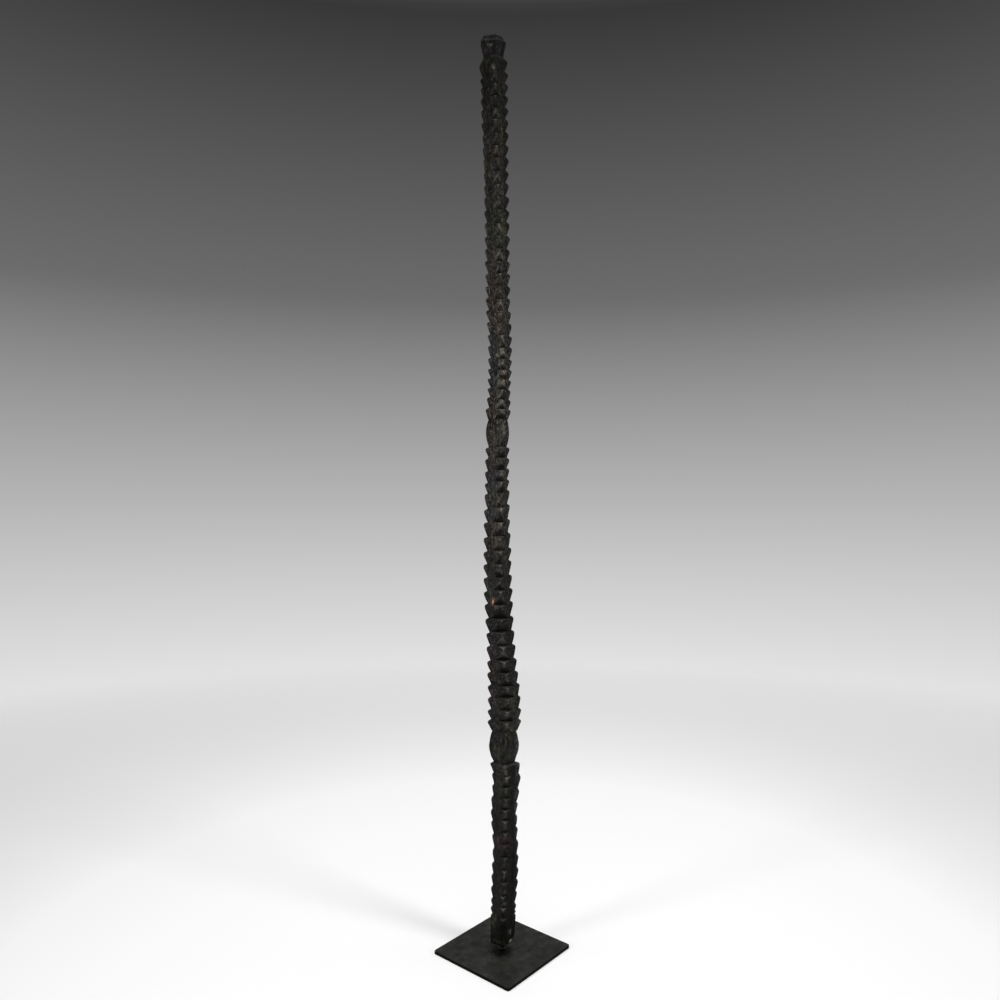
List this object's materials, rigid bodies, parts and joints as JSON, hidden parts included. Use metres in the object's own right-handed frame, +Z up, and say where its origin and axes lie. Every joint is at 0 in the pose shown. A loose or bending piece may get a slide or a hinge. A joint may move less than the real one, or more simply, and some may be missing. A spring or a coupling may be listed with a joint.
{
  "type": "carved house post on a display stand",
  "caption": "Tall slender dark hardwood house post with notched arrises, two carved barrels and a domed finial, held upright by a short steel rod on a square plate.",
  "frame": {"origin": "middle of the base plate's underside, on the surface the part stands on", "axes": "+Z up along the post; the plate's sides run along X and Y, and the post's front arris points towards +X and -Y"},
  "size_m": [0.254, 0.254, 2.401],
  "materials": {
    "dark_wood": "near-black aged patina, satin on the worn arrises and dull in the cuts",
    "rod_steel": "blackened steel, satin",
    "plate_steel": "charcoal blackened steel, satin, slightly mottled"
  },
  "bodies": {
    "root": {"carved_post": "dark_wood", "mounting_rod": "rod_steel", "base_plate": "plate_steel"}
  },
  "joints": []
}
